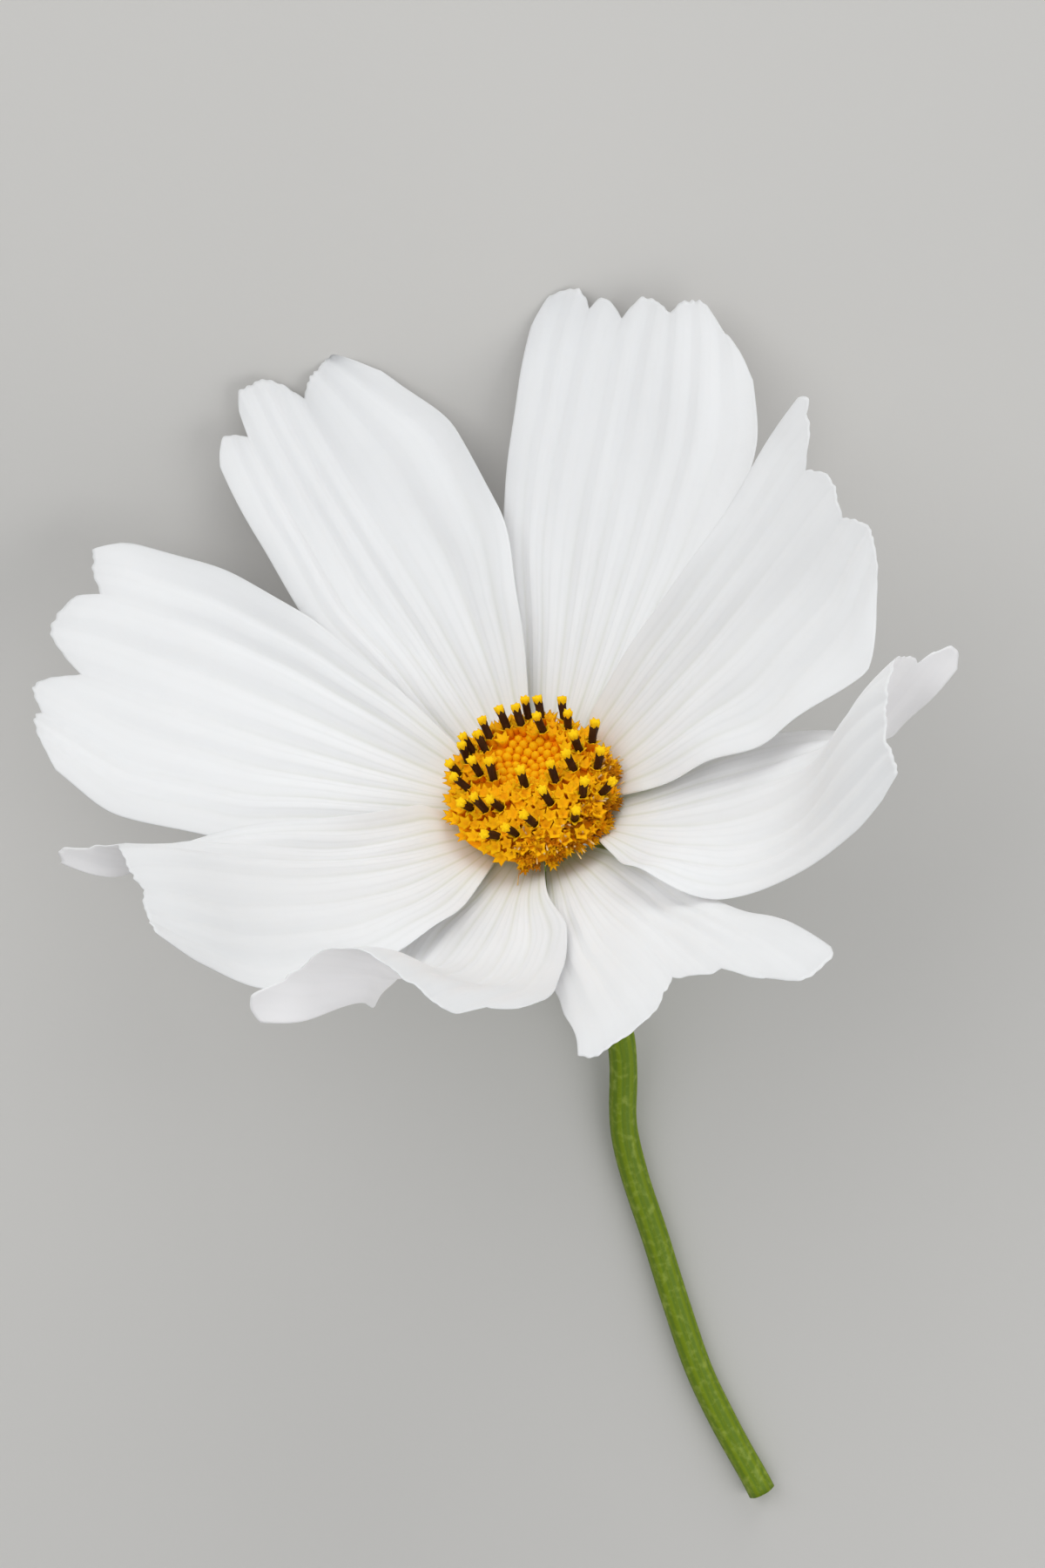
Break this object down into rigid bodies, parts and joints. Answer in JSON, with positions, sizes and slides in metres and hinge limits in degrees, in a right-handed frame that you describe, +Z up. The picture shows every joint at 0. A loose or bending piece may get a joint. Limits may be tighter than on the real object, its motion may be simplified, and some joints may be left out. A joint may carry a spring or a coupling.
{
  "type": "cosmos flower",
  "caption": "Single white cosmos bloom with a yellow disc of florets, on a short cut stem, lying down as picked.",
  "frame": {"origin": "centre of the bounding box, on the surface that the flower lies on", "axes": "+Z up; +Y from the cut end of the stem towards the lowest petal tips; +X to the right seen from above with +Y away"},
  "size_m": [0.0716, 0.1025, 0.0589],
  "materials": {
    "petal": "soft satin white petal with fine veins",
    "disc": "matt golden yellow, orange-brown at the rim",
    "floret": "dark brown anther tube with yellow pollen",
    "cup": "matt green plant tissue",
    "stem": "matt yellow-green plant tissue",
    "inner_bract": "thin yellow-green membrane",
    "outer_bract": "matt green plant tissue"
  },
  "bodies": {
    "root": {"stem": "stem", "receptacle": "cup", "disc": "disc", "petal_1": "petal", "petal_2": "petal", "petal_3": "petal", "petal_4": "petal", "petal_5": "petal", "petal_6": "petal", "petal_7": "petal", "petal_8": "petal", "inner_bract_1": "inner_bract", "inner_bract_2": "inner_bract", "inner_bract_3": "inner_bract", "inner_bract_4": "inner_bract", "inner_bract_5": "inner_bract", "inner_bract_6": "inner_bract", "inner_bract_7": "inner_bract", "inner_bract_8": "inner_bract", "outer_bract_1": "outer_bract", "outer_bract_2": "outer_bract", "outer_bract_3": "outer_bract", "outer_bract_4": "outer_bract", "outer_bract_5": "outer_bract", "outer_bract_6": "outer_bract", "outer_bract_7": "outer_bract", "outer_bract_8": "outer_bract", "floret_01": "floret", "floret_02": "floret", "floret_03": "floret", "floret_04": "floret", "floret_05": "floret", "floret_06": "floret", "floret_07": "floret", "floret_08": "floret", "floret_09": "floret", "floret_10": "floret", "floret_11": "floret", "floret_12": "floret", "floret_13": "floret", "floret_14": "floret", "floret_15": "floret", "floret_16": "floret", "floret_17": "floret", "floret_18": "floret", "floret_19": "floret", "floret_20": "floret", "floret_21": "floret", "floret_22": "floret", "floret_23": "floret", "floret_24": "floret", "floret_25": "floret", "floret_26": "floret", "floret_27": "floret", "floret_28": "floret", "floret_29": "floret", "floret_30": "floret", "floret_31": "floret"}
  },
  "joints": []
}
